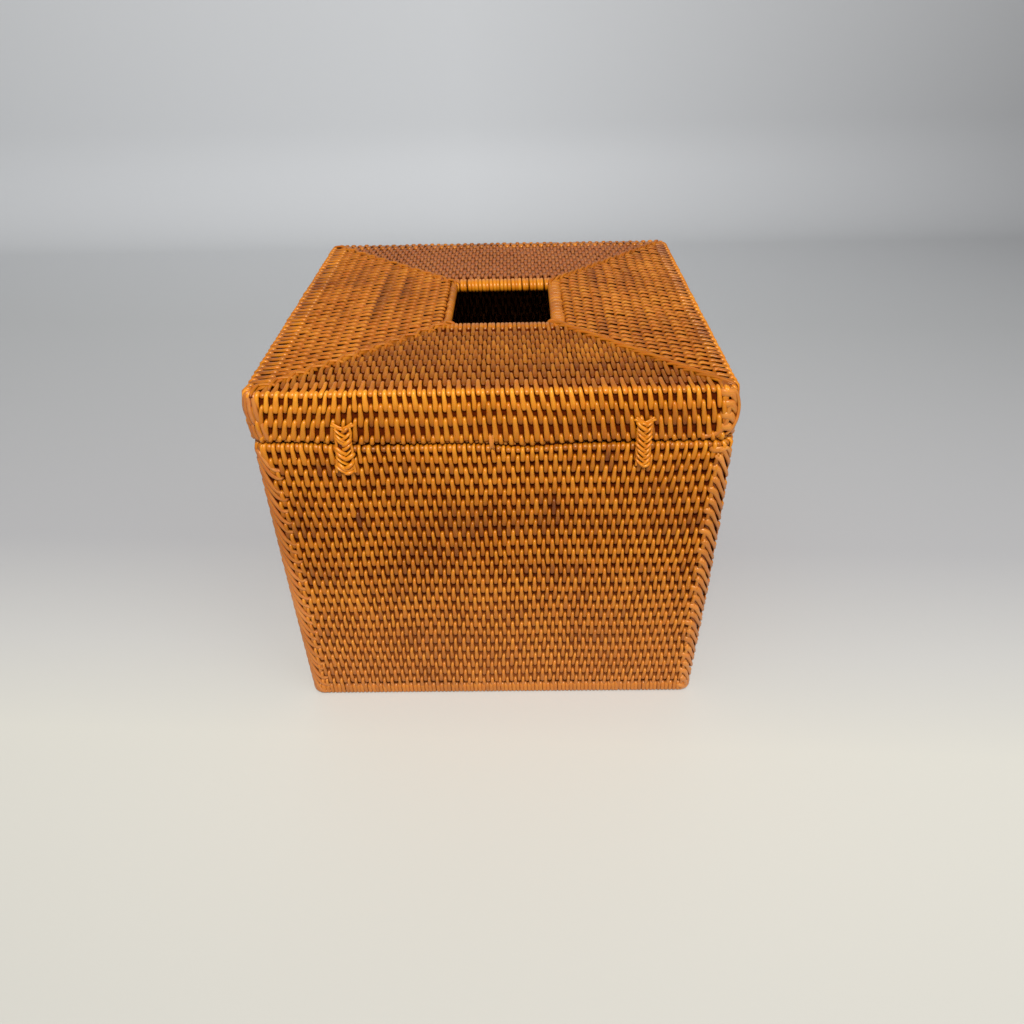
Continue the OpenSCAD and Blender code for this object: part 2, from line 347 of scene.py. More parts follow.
def flat_strands(knots, rings, rng, up=(0, 0, 1), thick=0.8, roll=0.0, depth=None):
    """Strands through knots of (x, y, z, width), all facing one way. depth sets only painted shade."""
    values = curve_through(np.asarray(knots, float), rings)
    if depth is None:
        depth = np.zeros(values.shape[:2])
    else:
        depth = curve_through(np.array(depth)[..., None], rings)[..., 0]
    normal = np.broadcast_to(np.array(up, float), values[..., :3].shape)
    return sweep(values[..., :3], normal, values[..., 3], thick, roll, *dye(rng, len(values)), depth)


# Cells of the map for baking: where a strand's sides start in its cell and how far they reach, and
# the centre, radii and distance apart of its two ends
MAP_START = (0.14, 0.04)
MAP_REACH = (0.82, 0.92)
MAP_END = (0.07, 0.25)
MAP_RADII = (0.03, 0.1)
MAP_APART = 0.5


def weave_mesh(name, groups):
    """One mesh of all the strands in the groups, with their attributes and a map for baking."""
    loops, totals, maps = [], [], []
    strands = sum(len(g["points"]) for g in groups)
    columns = max(1, int(math.ceil(math.sqrt(strands * 1.6))))
    cell_size = np.array([1 / columns, 1 / math.ceil(strands / columns)])
    first, done = 0, 0
    for g in groups:
        count, rings, sides = g["points"].shape[:3]
        base = first + np.arange(count) * rings * sides
        cell = np.arange(done, done + count)
        corner = np.stack([cell % columns, cell // columns], -1) * cell_size
        i, j = np.meshgrid(np.arange(rings - 1), np.arange(sides), indexing="ij")
        k = (j + 1) % sides
        quads = np.stack([i * sides + j, i * sides + k, (i + 1) * sides + k, (i + 1) * sides + j], -1)
        v0, v1 = (MAP_START[0] + MAP_REACH[0] * (j + step) / sides for step in (0, 1))
        u0, u1 = (MAP_START[1] + MAP_REACH[1] * (i + step) / (rings - 1) for step in (0, 1))
        square = np.stack([v0, u0, v1, u0, v1, u1, v0, u1], -1).reshape(rings - 1, sides, 4, 2)
        loops.append((base[:, None, None, None] + quads).reshape(-1))
        totals.append(np.full(count * i.size, 4))
        maps.append((corner[:, None, None, None] + square * cell_size).reshape(-1, 2))
        ring = np.arange(sides)
        angle = 2 * math.pi * ring / sides
        disc = np.array(MAP_END) + np.array(MAP_RADII) * np.stack([np.cos(angle), np.sin(angle)], -1)
        for end, at in ((ring[::-1], 0.0), ((rings - 1) * sides + ring, MAP_APART)):
            loops.append((base[:, None] + end).reshape(-1))
            totals.append(np.full(count, sides))
            maps.append((corner[:, None] + (disc + [0, at]) * cell_size).reshape(-1, 2))
        first += count * rings * sides
        done += count
    points, grain = (np.concatenate([g[key].reshape(-1, 3) for g in groups]) for key in ("points", "grain"))
    tone, depth = (np.concatenate([g[key].reshape(-1) for g in groups]) for key in ("tone", "depth"))
    return build_mesh(
        name, points * MM, np.concatenate(loops), np.concatenate(totals),
        places=np.concatenate(maps), attributes={"grain": grain, "tone": tone, "depth": depth},
    )


def build_mesh(name, verts, loops, totals=None, places=None, attributes=None, smooth=True):
    """A mesh from its points, its faces' corners, and how many each face has, if not four."""
    loops = np.asarray(loops, np.int32).reshape(-1)
    if totals is None:
        totals = np.full(len(loops) // 4, 4)
    mesh = bpy.data.meshes.new(name)
    mesh.vertices.add(len(verts))
    mesh.vertices.foreach_set("co", np.asarray(verts, np.float32).reshape(-1))
    mesh.loops.add(len(loops))
    mesh.loops.foreach_set("vertex_index", loops)
    mesh.polygons.add(len(totals))
    starts = np.concatenate([[0], np.cumsum(totals)[:-1]])
    mesh.polygons.foreach_set("loop_start", starts.astype(np.int32))
    mesh.polygons.foreach_set("loop_total", totals.astype(np.int32))
    mesh.update(calc_edges=True)
    mesh.validate()
    mesh.polygons.foreach_set("use_smooth", np.full(len(totals), smooth))
    for key, values in (attributes or {}).items():
        kind, field = ("FLOAT_VECTOR", "vector") if values.ndim == 2 else ("FLOAT", "value")
        attribute = mesh.attributes.new(key, kind, "POINT")
        attribute.data.foreach_set(field, np.asarray(values, np.float32).reshape(-1))
    if places is not None:
        layer = mesh.uv_layers.new(name="OFBake")
        layer.data.foreach_set("uv", np.asarray(places, np.float32).reshape(-1))
    return mesh


def faces_between(columns, rows, closed):
    """Corners of the four-sided faces between columns of points, each a closed outline."""
    i, j = np.meshgrid(np.arange(columns if closed else columns - 1), np.arange(rows), indexing="ij")
    n, k = (i + 1) % columns, (j + 1) % rows
    return np.stack([i * rows + j, n * rows + j, n * rows + k, i * rows + k], -1).reshape(-1, 4)


def add_object(name, data):
    item = bpy.data.objects.new(name, data)
    bpy.context.scene.collection.objects.link(item)
    return item


def add_piece(name, mesh, body, slot, material, nodes=()):
    """A piece that rides on a body, if one is given, in place of the nodes given."""
    piece = add_object(name, mesh)
    mesh.materials.append(material)
    if nodes:
        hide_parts(*nodes)
    if body is not None:
        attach(piece, body)
    return piece


def add_weave(name, groups, body, slot, material, nodes=()):
    return add_piece(name, weave_mesh(name, groups), body, slot, material, nodes)


# Stitches

# Rings of a stitch by its length: where it comes out of a hole, bends over two rods, and goes in
RINGS = np.array([0.0, 0.035, 0.08, 0.16, 0.28, 0.42, 0.56, 0.70, 0.84, 0.93, 0.975, 1.0])
RING_WIDTHS = np.array([0.95, 1.20, 1.32, 1.37, 1.40, 1.50, 1.68, 1.82, 1.86, 1.74, 1.40, 0.90])
RING_DEPTHS = np.array([1.30, 0.50, -0.06, -0.28, -0.28, -0.06, 0.14, 0.26, 0.33, 0.42, 0.62, 0.95])
RING_THICKS = np.array([0.85, 1.00, 1.15, 1.22, 1.18, 1.00, 0.78, 0.66, 0.62, 0.60, 0.60, 0.55])
# How far it sways to the left at each ring, as a share of the pitch: a head leans on the tail there
RING_SHIFTS = np.array([0.02, 0.03, 0.04, 0.05, 0.05, 0.03, 0.01, 0.0, 0.0, 0.0, 0.0, 0.0])
# How much paler its head is painted than its tail: a painted highlight where the head stands
# up to the light, and painted shade where the tail goes under
RING_LIGHT_AND_SHADE = np.array([0.1, 0.4, 0.8, 1.0, 0.9, 0.4, -0.1, -0.6, -1.2, -1.7, -2.0, -2.2])
PLAIN_RINGS = np.array([0, 2, 4, 6, 8, 11])
NORMAL_PITCH = 3.05  # pitch at which the ring widths hold
HEAD_DROP = 0.27  # how far a head lies under its hole, as a share of the course
TAIL_RISE = 0.20  # how far a tail ends over its hole, as a share of the course
# How far the holes wander along the face, and the rows across it, each with a wave's rough length
HOLE_WANDER = (0.16, 26)
ROW_WANDER = (0.28, 40)
HOLE_SCATTER = 0.10
WIDTH_SCATTER = 0.06
DEPTH_SCATTER = 0.08
ROLL = (0.08, 0.06)  # how far a stitch lies on its side, and the scatter
WAVES = 6


def waves(rng, size, reach):
    """A smooth random field over two lengths, as a sum of waves about as long as reach."""
    angle = rng.uniform(0, 2 * math.pi, WAVES)
    pace = 2 * math.pi / (reach * rng.uniform(0.6, 1.6, WAVES))
    phase = rng.uniform(0, 2 * math.pi, WAVES)

    def at(a, b):
        total = np.zeros(np.broadcast(a, b).shape)
        for g, p, f in zip(angle, pace, phase):
            total = total + np.sin((a * math.cos(g) + b * math.sin(g)) * p + f)
        return size * total / math.sqrt(WAVES)

    return at


class Weave:
    """Holes of one face in staggered rows, and the stitches that run from row to row.

    Stitch (k, i) comes out under hole (k, i), passes between two holes of row k + 1, and goes in
    over hole (k + 2, i - 1). lean gives how far the rows move sideways, in mm a course."""

    def __init__(self, profile, half, side, rows, pitch, rng, lean=None, narrow=1.0, sway=1.0):
        self.wall = (profile, half, side)
        self.rng, self.sway = rng, sway
        self.rows = np.asarray(rows, float)
        self.pitch = pitch * narrow ** np.arange(len(self.rows))
        count = int(along_half(half, side) / pitch) + len(self.rows) + 4
        holes = [rng.uniform(0, pitch) + np.arange(-count, count + 1) * pitch]
        for k in range(1, len(self.rows)):
            last = holes[-1] * narrow
            drift = lean(last, self.rows[k]) if lean else 0.0
            holes.append(last + 0.5 * self.pitch[k] + drift)
        s = np.array(holes)
        t = self.rows[:, None] + 0 * s
        aside = waves(rng, *HOLE_WANDER)
        rise = waves(rng, *ROW_WANDER)
        s_places = s + aside(s, t) + rng.normal(0, HOLE_SCATTER, s.shape)
        t_places = t + rise(s, t) + rng.normal(0, HOLE_SCATTER, s.shape)
        self.holes = np.stack([s_places, t_places])

    def stitches(self, first, last, ends, drop=None, plain=False, tone=None, wide=1.0, glow=None):
        """The stitches whose heads are in the rows from first to last.

        ends gives the limits along the face at places along the profile. drop gives, in mm, how
        far the heads lie past their holes. glow adds to the tone by the place along the profile: a
        painted highlight, or a plain tone."""
        k = np.arange(first, last + 1)
        courses = np.diff(self.rows)[:, None]
        head, beyond, tail = (self.holes[:, k + n] for n in range(3))
        head[1] += HEAD_DROP * courses[k] if drop is None else drop
        tail[1] -= TAIL_RISE * courses[k + 1]
        middle = (beyond[..., 1:] + beyond[..., :-1]) / 2
        near, far = ends(middle[1])
        spare = 0.5 * self.pitch[k, None]
        keep = (middle[0] > near - spare) & (middle[0] < far + spare)
        head, middle, tail = (v[:, keep] for v in (head[..., 1:], middle, tail[..., :-1]))
        row = np.broadcast_to(k[:, None], keep.shape)[keep]
        rng, count = self.rng, len(row)
        pick = PLAIN_RINGS if plain else np.arange(len(RINGS))
        u = RINGS[pick]
        a, b, c = (1 - u) * (1 - 2 * u), 4 * u * (1 - u), u * (2 * u - 1)
        s, t = head[..., None] * a + middle[..., None] * b + tail[..., None] * c
        s = np.clip(s - self.sway * RING_SHIFTS[pick] * self.pitch[row][:, None], *ends(t))
        scale = self.pitch[row] / NORMAL_PITCH * wide * rng.normal(1.0, WIDTH_SCATTER, count)
        depth = RING_DEPTHS[pick] + rng.normal(0, DEPTH_SCATTER, count)[:, None]
        thick = RING_THICKS[pick][None]
        point, normal = on_wall(*self.wall, s, t, depth + thick / 2)
        roll = rng.normal(*ROLL, (count, 1))
        shade, seed = dye(rng, count)
        if tone is not None:
            shade = shade + tone(*middle, row)[:, None]
        # Painted highlight on the head and painted shade on the tail
        shade = shade + RING_LIGHT_AND_SHADE[pick]
        if glow is not None:
            shade = shade + glow(t)
        width = RING_WIDTHS[pick] * scale[:, None]
        section = PLAIN_SECTION if plain else SECTION
        return sweep(point, normal, width, thick, roll, shade, seed, depth, section)


def between(lo, hi):
    def ends(tau):
        return lo + 0 * tau, hi + 0 * tau

    return ends


def course_tones(rng, rows, size, step=0.25, reach=45):
    """A strand serves for a stretch of its course, so the tone changes slowly along each one."""
    fields = [waves(rng, size, reach) for _ in range(rows)]
    shift = rng.normal(0, step, rows)

    def tone(s, t, row):
        total = np.zeros(len(s))
        for k in range(rows):
            here = row == k
            total[here] = fields[k](s[here], 0 * s[here]) + shift[k]
        return total

    return tone


# Materials


class Look:
    """A material, with short ways to add the nodes used here. Inputs are values or sockets."""

    def __init__(self, name):
        self.material = bpy.data.materials.new(name)
        self.material.use_nodes = True
        self.nodes = self.material.node_tree.nodes
        self.nodes.clear()
        self.shader = self.nodes.new("ShaderNodeBsdfPrincipled")
        self.join(self.nodes.new("ShaderNodeOutputMaterial"), {0: self.shader.outputs[0]})

    def join(self, node, inputs):
        for name, value in inputs.items():
            if isinstance(value, bpy.types.NodeSocket):
                self.material.node_tree.links.new(value, node.inputs[name])
            else:
                node.inputs[name].default_value = value

    def add(self, kind, inputs, result=0, **settings):
        """An output of a new node, after its settings and inputs."""
        node = self.nodes.new("ShaderNode" + kind)
        for name, value in settings.items():
            setattr(node, name, value)
        self.join(node, inputs)
        return node.outputs[result]

    def attribute(self, name, result="Fac"):
        return self.add("Attribute", {}, result, attribute_name=name)

    def maths(self, operation, *values):
        return self.add("Math", dict(enumerate(values)), operation=operation)

    def noise(self, vector, scale, detail):
        return self.add("TexNoise", {"Vector": vector, "Scale": scale, "Detail": detail})

    def here(self):
        return self.add("TexCoord", {}, "Object")

    def axis(self, name):
        """A coordinate of the object, in metres."""
        return self.add("SeparateXYZ", {0: self.here()}, name)

    def span(self, value, lo, hi, to_lo=0.0, to_hi=1.0):
        """A value's way from lo to hi, as a number from to_lo to to_hi."""
        ends = {"From Min": lo, "From Max": hi, "To Min": to_lo, "To Max": to_hi}
        return self.add("MapRange", {"Value": value, **ends})

    def mix(self, factor, one, other):
        """One colour, turned by the factor into another."""
        inputs = {"Factor": factor, "A": one, "B": (*other, 1)}
        return self.add("Mix", inputs, "Result", data_type="RGBA")

    def ramp(self, factor, stops):
        """Colours by the factor, through stops of (place, colour)."""
        ramp = self.nodes.new("ShaderNodeValToRGB")
        elements = ramp.color_ramp.elements
        while len(elements) < len(stops):
            elements.new(0.5)
        for element, (at, colour) in zip(elements, stops):
            element.position = at
            element.color = (*colour, 1)
        self.join(ramp, {"Fac": factor})
        return ramp.outputs["Color"]


# Painted shade: the colours a strand turns to where it goes deep into the weave, and on its sides
GAP_SHADE = (0.100, 0.012, 0.001)
SOFT_GAP_SHADE = (0.16, 0.040, 0.012)
FLOOR_LIGHT_COLOUR = (0.56, 0.20, 0.055)  # painted floor light: the strands turn to this towards the foot
FLOOR_LIGHT_REACH = 0.075
ROD_FLOOR_LIGHT_COLOUR = (0.36, 0.10, 0.022)
ROD_FLOOR_LIGHT_REACH = 0.065


def rattan(name, dark, middle, light, painted_shade=GAP_SHADE, rough=0.36, coat=0.10, spread=0.11, shine=0.42):
    """Split rattan: one tone a strand, fine fibres along it, painted shade where it goes into the weave.

    Towards the foot it is paler, as the floor lights it."""
    look = Look(name)
    stretch = {0: look.attribute("grain", "Vector"), 1: (0.35, 3.2, 1.0)}
    along = look.add("VectorMath", stretch, operation="MULTIPLY")
    fibre = look.noise(along, 1.6, 3)
    patch = look.noise(look.here(), 28, 2)
    # The strand's tone, its fibres and the patches of the whole weave add up to a place on the ramp
    tone = look.maths("MULTIPLY_ADD", look.attribute("tone"), spread, 0.075)
    tone = look.maths("MULTIPLY_ADD", fibre, 0.35, tone)
    tone = look.maths("MULTIPLY_ADD", patch, 0.5, tone)
    colour = look.ramp(tone, [(0.08, dark), (0.5, middle), (0.9, light)])
    hue = look.span(look.noise(along, 0.9, 1), 0, 1, 0.480, 0.516)
    colour = look.add("HueSaturation", {"Hue": hue, "Color": colour}, "Color")
    # Painted shade by the depth attribute: darker deep in the weave and on the strand's sides
    colour = look.mix(look.span(look.attribute("depth"), 0.22, 1.0), colour, painted_shade)
    # Painted light from the floor: paler towards the foot
    low = look.span(look.axis("Z"), FLOOR_LIGHT_REACH, 0.0, 0.0, 0.34)
    look.join(look.shader, {
        "Base Color": look.mix(low, colour, FLOOR_LIGHT_COLOUR),
        "Roughness": look.span(fibre, 0, 1, rough - 0.08, rough + 0.1),
        "Specular IOR Level": shine,
        "Specular Tint": (1.0, 0.77, 0.48, 1),
        "Coat Weight": coat,
        "Coat Roughness": 0.3,
        "Coat Tint": (1.0, 0.90, 0.72, 1),
        "Normal": look.add("Bump", {"Strength": 0.35, "Distance": 0.0001, "Height": fibre}),
    })
    return look.material


def rod_material():
    """The rods in the weave, seen in the holes: painted dark as shade, paler at the foot as floor light."""
    look = Look("rods")
    # Painted shade: the rods are dark because the holes lie in shade
    stops = [(0.2, (0.045, 0.006, 0.0008)), (0.8, (0.11, 0.015, 0.002))]
    colour = look.ramp(look.noise(look.here(), 900, 4), stops)
    # Painted light from the floor: paler towards the foot
    low = look.span(look.axis("Z"), ROD_FLOOR_LIGHT_REACH, 0.0, 0.0, 0.75)
    colour = look.mix(low, colour, ROD_FLOOR_LIGHT_COLOUR)
    look.join(look.shader, {"Base Color": colour, "Roughness": 0.95, "Specular IOR Level": 0.0})
    return look.material


# The colours of each rattan are its dark, middle and light ones
AMBER = rattan("amber rattan", (0.13, 0.028, 0.001), (0.41, 0.124, 0.002), (0.53, 0.19, 0.009))
GOLD = rattan("gold rattan", (0.19, 0.046, 0.002), (0.48, 0.152, 0.003), (0.66, 0.25, 0.014), coat=0.15)
PALE = rattan("pale rattan", (0.18, 0.050, 0.006), (0.43, 0.145, 0.017), (0.62, 0.26, 0.055))
ROSE = rattan("rose rattan", (0.14, 0.036, 0.005), (0.35, 0.108, 0.015), (0.52, 0.20, 0.050))
MATT = {"rough": 0.48, "coat": 0.04, "shine": 0.30}
LINING = rattan("inside rattan", (0.15, 0.044, 0.005), (0.34, 0.11, 0.012), (0.50, 0.19, 0.034), **MATT)
BROWN = rattan("brown rattan", (0.12, 0.030, 0.001), (0.29, 0.084, 0.002), (0.45, 0.16, 0.009), **MATT)
ORANGE = rattan("orange rattan", (0.15, 0.034, 0.002), (0.34, 0.096, 0.003), (0.47, 0.16, 0.011), **MATT)
TAWNY = rattan("tawny rattan", (0.13, 0.032, 0.002), (0.33, 0.091, 0.004), (0.46, 0.15, 0.011), **MATT)
REDS = ((0.17, 0.044, 0.010), (0.265, 0.080, 0.018), (0.33, 0.110, 0.030))
RED = rattan("red rattan", *REDS, painted_shade=SOFT_GAP_SHADE, spread=0.06, **MATT)
RODS = rod_material()
# Paler and pinker round the corners, partly as a painted sheen where the strands turn away
CORNER_COLOURS = {HINGE: PALE, RIGHT: PALE, FAR: ROSE, LEFT: ROSE}


# Body

BODY = body_profile()
# Places of the holes below the seam, on the outside
FIRST_ROW = 4.9
LAST_ROW = 113.9
COURSES = 25
COURSE = (LAST_ROW - FIRST_ROW) / COURSES
RIM_ROW = -0.6
RIM_HIGHLIGHT = (1.2, 1.8)  # middle and reach of the painted highlight on the rim's top, below the seam
BODY_PITCH = 3.10
FOOT_PITCH = 1.55  # of the wraps under the foot
BODY_NARROW = 0.9975
# First random seed of each part, which the sides count up from
BODY_SEED = 100
CORNER_SEED = 140
BASE_SEED = 180
LID_SEED = 200

# Dark strands on the hinge wall: place along it, place below the seam, reach each way, strength.
# The last one is a paler stretch, a painted highlight on the rows high in the middle of the wall.
STAINS_AND_HIGHLIGHT = (
    (-45.4, 30.9, 1.8, 4.0, 4.5),
    (-55.5, 8.0, 4.0, 4.5, 3.0),
    (38.5, 7.5, 4.0, 4.5, 3.0),
    (20.9, 27.3, 1.3, 5.0, 4.2),
    (-62.0, 57.0, 6.0, 2.8, 2.0),
    (9.0, 93.0, 1.5, 3.5, 2.6),
    (2.0, 15.0, 30.0, 10.0, -1.0),
)

# Knots of the strands round a body corner: share of the turn, mm past it, mm down, share of the
# fall, depth and width. Each strand has a head on its own side and a tail on the next.
BODY_WRAP = (
    (0, -0.5, 0, 0.42, 1.2, 1.9),
    (0, 0.3, 0, 0.44, -0.15, 2.4),
    (0.14, 0, 0, 0.52, -0.3, 2.45),
    (0.28, 0, 0, 0.72, -0.3, 2.2),
    (0.40, 0, 0, 1.14, -0.2, 1.75),
    (0.53, 0, 0, 1.62, -0.2, 1.6),
    (0.70, 0, 0, 2.16, -0.2, 1.55),
    (0.88, 0, 0, 2.70, -0.2, 1.5),
    (1, 0.4, 0, 3.02, -0.15, 1.45),
    (1, 1.5, 0, 3.18, 0.0, 1.4),
    (1, 2.4, 0, 3.20, 0.4, 1.2),
    (1, 2.9, 0, 3.18, 1.3, 0.9),
)
# The same for the strands that show between them, painted dark as the shade in the gaps
BODY_UNDER = (
    (0, 0.6, 0, 0.98, 1.2, 1.2),
    (0, 1.6, 0, 1.04, 0.8, 1.5),
    (0.36, 0, 0, 1.50, 0.7, 1.6),
    (0.56, 0, 0, 2.15, 0.8, 1.5),
    (0.76, 0, 0, 2.75, 1.1, 1.2),
)
# Painted shade: how much darker the strands between the wraps are
UNDER_SHADE = -4.0


def round_corner(table, start, down, fall, near=0.0, far=0.0, limits=(-math.inf, math.inf)):
    """Knots of (along, down, depth, width) from a table like BODY_WRAP.

    near shifts the first two along the wall, and far those past the turn. limits are for down."""
    knots = []
    for n, (turn, past, lower, share, depth, width) in enumerate(table):
        shift = near if n < 2 else far if turn == 1 else 0.0
        level = min(max(down + lower + share * fall, limits[0]), limits[1])
        knots.append((start + turn * TURN + past + shift, level, depth, width))
    return knots


def below_seam(distance):
    """Length along the body's profile of a place this far below the seam, on the outside."""
    return BODY.marks[2] + (np.asarray(distance) - SEAM_GAP - SEAM_ROUND)


def body_rows():
    return FIRST_ROW + COURSE * np.arange(COURSES + 1)


def body_lean(side):
    """How the rows of holes drift: a little to the left at the left of the hinge wall."""

    def lean(s, t):
        drift = -0.03 + 0 * s
        if side == HINGE:
            patch = np.exp(-(((s - 48) / 18) ** 2) - ((t - below_seam(16)) / 12) ** 2)
            drift = drift - 0.18 * patch - 0.2 * np.clip(-s / 60, 0, 1)
        return drift

    return lean


def body_tone(side, rng):
    by_course = course_tones(rng, COURSES + 5, size=0.6, step=0.5)

    def tone(s, t, row):
        total = by_course(s, t, row)
        if side == HINGE:
            # Dark stains, and a painted highlight where the strength is below zero
            for at_s, at_t, reach_s, reach_t, strength in STAINS_AND_HIGHLIGHT:
                near = ((s - at_s) / reach_s) ** 2 + ((t - below_seam(at_t)) / reach_t) ** 2
                total = total - strength * np.exp(-(near**2))
        return total

    return tone


def rim_highlight(t):
    """The strands over the rim are painted paler on its round top, a painted highlight."""
    middle, reach = RIM_HIGHLIGHT
    return 0.8 * np.exp(-(((t - below_seam(middle)) / reach) ** 2))


def body_side(side, rng):
    """The groups of strands over the rim and down the outside of one wall."""
    foot = BODY.marks[4] + (WALL - 2 * ROUND) / 2
    rows = np.concatenate([[-FIRST_ROW, RIM_ROW], below_seam(body_rows()), [foot, foot + 6.2]])
    weave = Weave(BODY, BODY_HALF, side, rows, BODY_PITCH, rng, lean=body_lean(side), narrow=BODY_NARROW)
    tone = body_tone(side, rng)
    a = straight(BODY_HALF, side)
    rim_ends = between(-a - 1.2, a + TURN - 1.6)
    over_rim = weave.stitches(0, 1, rim_ends, drop=-0.6, tone=tone, glow=rim_highlight)
    wall = weave.stitches(2, COURSES + 1, between(-a + 0.2, a + 1.0), tone=tone)
    return over_rim, wall


def foot_wraps(side, rng):
    """Close wraps under the foot, from the lowest row of holes to the inside."""
    a = straight(BODY_HALF, side)
    top = below_seam(LAST_ROW + 0.9)
    places = np.arange(-a, a + TURN, FOOT_PITCH)
    outside, under, inside, back = BODY.marks[3:7]
    knots = []
    for s in places + rng.normal(0, 0.05, len(places)):
        start = top + rng.uniform(-0.2, 0.3)
        path = (
            (start - 0.5, 1.0),
            (start + 0.2, 0.05),
            (outside - 0.2, -0.05),
            (outside + 0.5 * ROUND, 0.0),
            (under + 0.3, 0.02),
            (inside + 0.4, 0.1),
            (back + 2.0, 1.0),
        )
        knots.append([(s + 0.08 * n, tau, depth, FOOT_PITCH * 1.05) for n, (tau, depth) in enumerate(path)])
    return laid_strands(BODY, BODY_HALF, side, knots, 19, rng, thick=0.8, tone=-0.5)


def body_corner(side, rng):
    """Strands that carry each course round the corner at a side's right end, slanting down."""
    a = straight(BODY_HALF, side)
    rows = below_seam(FIRST_ROW + COURSE * np.arange(-2, COURSES + 1))
    limits = (rows[2] - 1.0, below_seam(SEAM - 1.5))
    wraps, under = [], []
    for k, row in enumerate(rows):
        reach = -0.6 + 1.3 * (k % 2) + rng.normal(0, 0.25)
        fall = COURSE * (1 + rng.normal(0, 0.03))
        wraps.append(round_corner(BODY_WRAP, a, row, fall, -reach, rng.normal(0, 0.2), limits))
        under.append(round_corner(BODY_UNDER, a, row, fall, limits=limits))
    return [
        laid_strands(BODY, BODY_HALF, side, wraps, 27, rng, thick=1.25, roll=0.05),
        laid_strands(BODY, BODY_HALF, side, under, 13, rng, thick=1.0, tone=UNDER_SHADE),
    ]


def body_lining(side, rng):
    rows = np.concatenate([[-120.0], -below_seam(body_rows())[::-1], [-0.9, 3.0]])
    weave = Weave(BODY, BODY_HALF, side, rows, NORMAL_PITCH, rng)
    reach = straight(BODY_HALF, side) + TURN / 2
    return weave.stitches(0, len(rows) - 3, between(-reach, reach), plain=True)


# Depths of the rods behind the stitches: between the rows of holes, at them, and in the lid
CORE_CREST = 1.0
CORE_DIP = 1.9
LID_CORE = 1.3
CORE_STEPS = 5  # of a corner's turn


def body_core():
    """The rods of all four walls as one ring, which dips at the rows of holes."""
    rows = below_seam(body_rows())
    rows = np.sort(np.mod(np.concatenate([rows, BODY.marks[1] - rows]), BODY.length))
    following = np.append(rows[1:], rows[0] + BODY.length)
    tau = np.stack([rows, (rows + following) / 2], -1).reshape(-1)
    depth = np.tile([CORE_DIP, CORE_CREST], len(rows))
    columns = []
    for side in range(4):
        a = straight(BODY_HALF, side)
        for s in np.concatenate([[-a, a], a + TURN * np.arange(1, CORE_STEPS) / CORE_STEPS]):
            columns.append(on_wall(BODY, BODY_HALF, side, s + 0 * tau, tau, depth)[0])
    faces = faces_between(len(columns), len(tau), closed=True)
    return build_mesh("body_rods", np.concatenate(columns) * MM, faces)


def make_body():
    add_piece("body_rods", body_core(), *BOX, RODS)
    rims, feet = [], []
    for side, name in enumerate(SIDE_NAMES):
        rng = np.random.default_rng(BODY_SEED + side)
        over_rim, wall = body_side(side, rng)
        rims.append(over_rim)
        feet.append(foot_wraps(side, rng))
        add_weave(name + "_wall_weave", [wall], *BOX, AMBER, [name + "_wall"])
        add_weave(name + "_wall_lining", [body_lining(side, rng)], *BOX, LINING)
    add_weave("rim_weave", rims, *BOX, AMBER, ["body_rim"])
    add_weave("foot_weave", feet, *BOX, AMBER, ["foot_course"])
    for side, name in enumerate(CORNER_NAMES):
        strands = body_corner(side, np.random.default_rng(CORNER_SEED + side))
        add_weave(name + "_corner_weave", strands, *BOX, CORNER_COLOURS[side], [name + "_corner"])


BASES = [base_profile(side) for side in range(4)]
BASE_ROWS = 19


def base_ends(side):
    """The base's courses end in the diagonals."""
    outer = along_half(BODY_HALF, side) - WALL
    depth = across_half(BODY_HALF, side) - WALL
    start = max(0.0, outer - depth)

    def ends(tau):
        out = BASES[side].at(tau)[0]
        share = np.clip((-out - WALL) / depth, 0, 1)
        reach = outer + (start - outer) * share
        return -reach, reach

    return ends


def make_base():
    groups = []
    for side, profile in enumerate(BASES):
        rng = np.random.default_rng(BASE_SEED + side)
        over = np.linspace(-0.5, profile.marks[1] + 3, BASE_ROWS)
        under = np.linspace(profile.marks[2] - 3, profile.marks[3] + 0.5, BASE_ROWS)
        for rows in (over, under):
            weave = Weave(profile, BODY_HALF, side, rows, NORMAL_PITCH, rng)
            groups.append(weave.stitches(0, BASE_ROWS - 3, base_ends(side), plain=True, wide=1.08))
    add_weave("base_weave", groups, "box", "rattan_base", LINING, ["base_panel"])


# Lid

LIDS = [lid_profile(side) for side in range(4)]
# Rows of holes in the top: how many, and how far the outer ones lie in from the edge and the opening
LID_ROWS = {HINGE: (12, 4.3, 4.4), RIGHT: (14, 3.2, 4.2), FAR: (14, 4.0, 4.6), LEFT: (15, 5.1, 1.9)}
WIDE_ROWS = 3  # courses next to the edge of the hinge side that are wider than the others
WIDE_SHARE = 1.36
SKIRT_ROWS = np.array([3.4, 8.3, 13.4])  # rows of holes, below the lid's top
RIM_PITCH = 1.5  # of the wraps round the slot
LID_PITCHES = {HINGE: 3.00, RIGHT: 3.35, FAR: 3.05, LEFT: 3.40}
# Widths of the top's strands and of those over the edge
TOP_WIDTHS = {HINGE: 1.0, RIGHT: 0.98, FAR: 1.25, LEFT: 0.96}
EDGE_WIDTHS = {HINGE: 1.04, RIGHT: 1.04, FAR: 1.65, LEFT: 1.04}
SKIRT_WIDTH = 1.10
# How far the heads lean to the left. Those of the lid's left and right sides lean to the right.
LID_SWAYS = {HINGE: 1.0, RIGHT: -2.0, FAR: 1.0, LEFT: -2.0}
